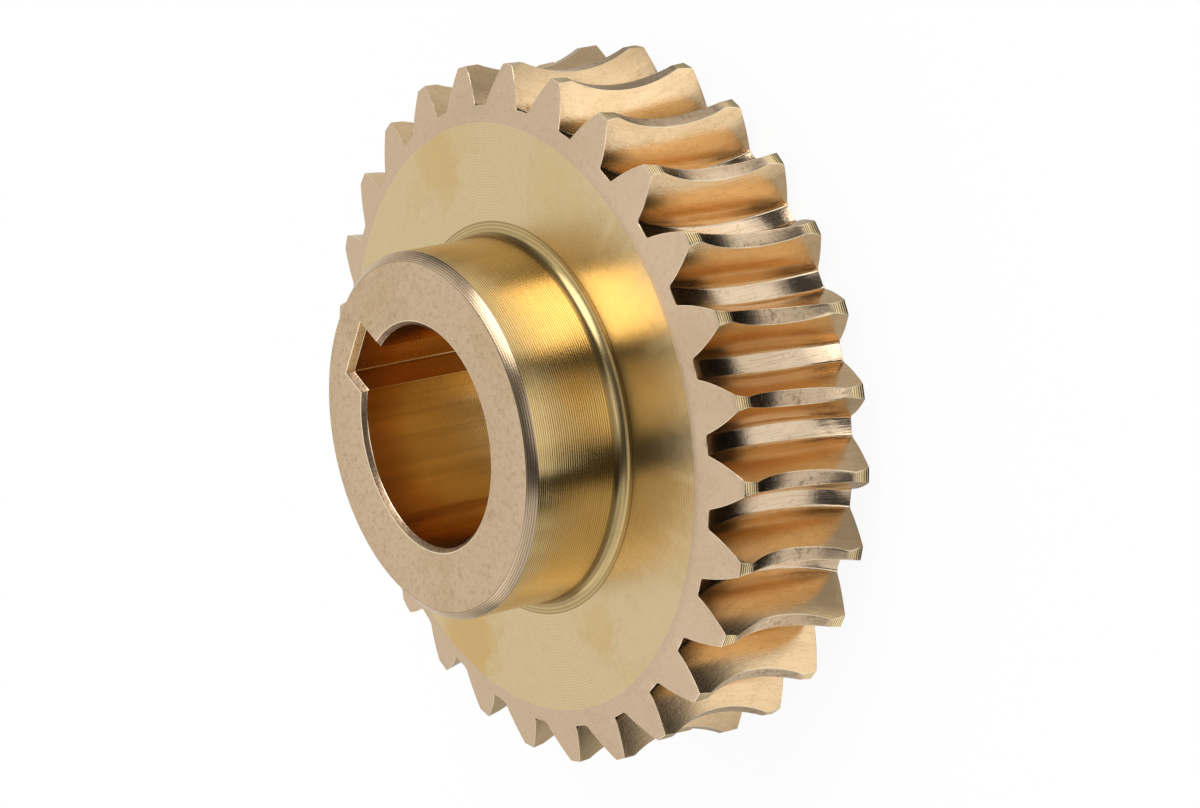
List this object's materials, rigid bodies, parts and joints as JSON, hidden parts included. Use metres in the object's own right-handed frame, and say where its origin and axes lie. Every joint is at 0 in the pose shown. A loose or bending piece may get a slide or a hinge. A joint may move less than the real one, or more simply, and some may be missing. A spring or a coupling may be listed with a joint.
{
  "type": "worm wheel",
  "caption": "Bronze worm wheel with a throated tooth ring, bevelled rim, hub on one side and a keyed bore.",
  "frame": {"origin": "on the bore axis, level with the flat back face", "axes": "+Z along the bore from the back face towards the hub end, +X from the axis through the middle of the keyway"},
  "size_m": [0.0605, 0.0604, 0.025],
  "materials": {
    "bronze": "machined"
  },
  "bodies": {
    "root": {"worm_wheel": "bronze"}
  },
  "joints": []
}
